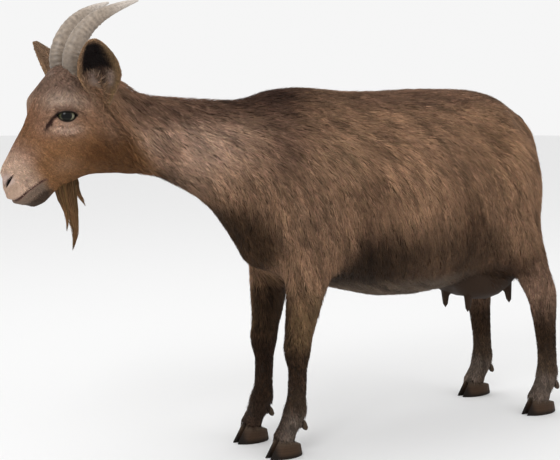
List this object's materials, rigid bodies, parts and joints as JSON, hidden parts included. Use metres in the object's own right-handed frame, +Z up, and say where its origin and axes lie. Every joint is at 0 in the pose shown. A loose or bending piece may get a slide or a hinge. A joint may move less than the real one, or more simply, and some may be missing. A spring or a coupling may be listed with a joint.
{
  "type": "domestic goat, horned bearded doe, standing",
  "caption": "Life-size brown doe goat with ringed horns, beard and udder, standing square on four cloven feet; a farm animal for yards, pastures and stalls.",
  "frame": {"origin": "middle of the bounding box on the floor, under the belly", "axes": "+Z up from the soles; the goat faces -Y, its tail is towards +Y; +X is the goat's left side"},
  "size_m": [0.3314, 1.315, 0.9182],
  "materials": {
    "body_coat": "dense brown hair, darker along the back and belly",
    "face_coat": "short brown hair, paler on the muzzle",
    "leg_coat": "short dark brown hair",
    "ear": "thin skin with short tan hair",
    "long_hair": "long brown hair in pointed locks",
    "horn": "grey ringed horn, keratin",
    "hoof_horn": "grey-brown hoof horn, keratin",
    "eye": "wet dark amber eye with a level slot pupil",
    "udder_skin": "bare grey-brown skin with fine hair"
  },
  "bodies": {
    "root": {"beard": "long_hair", "dewclaw_front_left_inner": "hoof_horn", "dewclaw_front_left_outer": "hoof_horn", "dewclaw_front_right_inner": "hoof_horn", "dewclaw_front_right_outer": "hoof_horn", "dewclaw_rear_left_inner": "hoof_horn", "dewclaw_rear_left_outer": "hoof_horn", "dewclaw_rear_right_inner": "hoof_horn", "dewclaw_rear_right_outer": "hoof_horn", "ear_left": "ear", "ear_right": "ear", "eye_left": "eye", "eye_right": "eye", "head": "face_coat", "hoof_front_left_inner": "hoof_horn", "hoof_front_left_outer": "hoof_horn", "hoof_front_right_inner": "hoof_horn", "hoof_front_right_outer": "hoof_horn", "hoof_rear_left_inner": "hoof_horn", "hoof_rear_left_outer": "hoof_horn", "hoof_rear_right_inner": "hoof_horn", "hoof_rear_right_outer": "hoof_horn", "horn_left": "horn", "horn_right": "horn", "leg_front_left": "leg_coat", "leg_front_right": "leg_coat", "leg_rear_left": "leg_coat", "leg_rear_right": "leg_coat", "neck": "body_coat", "tail": "long_hair", "teat_front_left": "udder_skin", "teat_front_right": "udder_skin", "teat_rear_left": "udder_skin", "teat_rear_right": "udder_skin", "trunk": "body_coat", "udder": "udder_skin"}
  },
  "joints": []
}
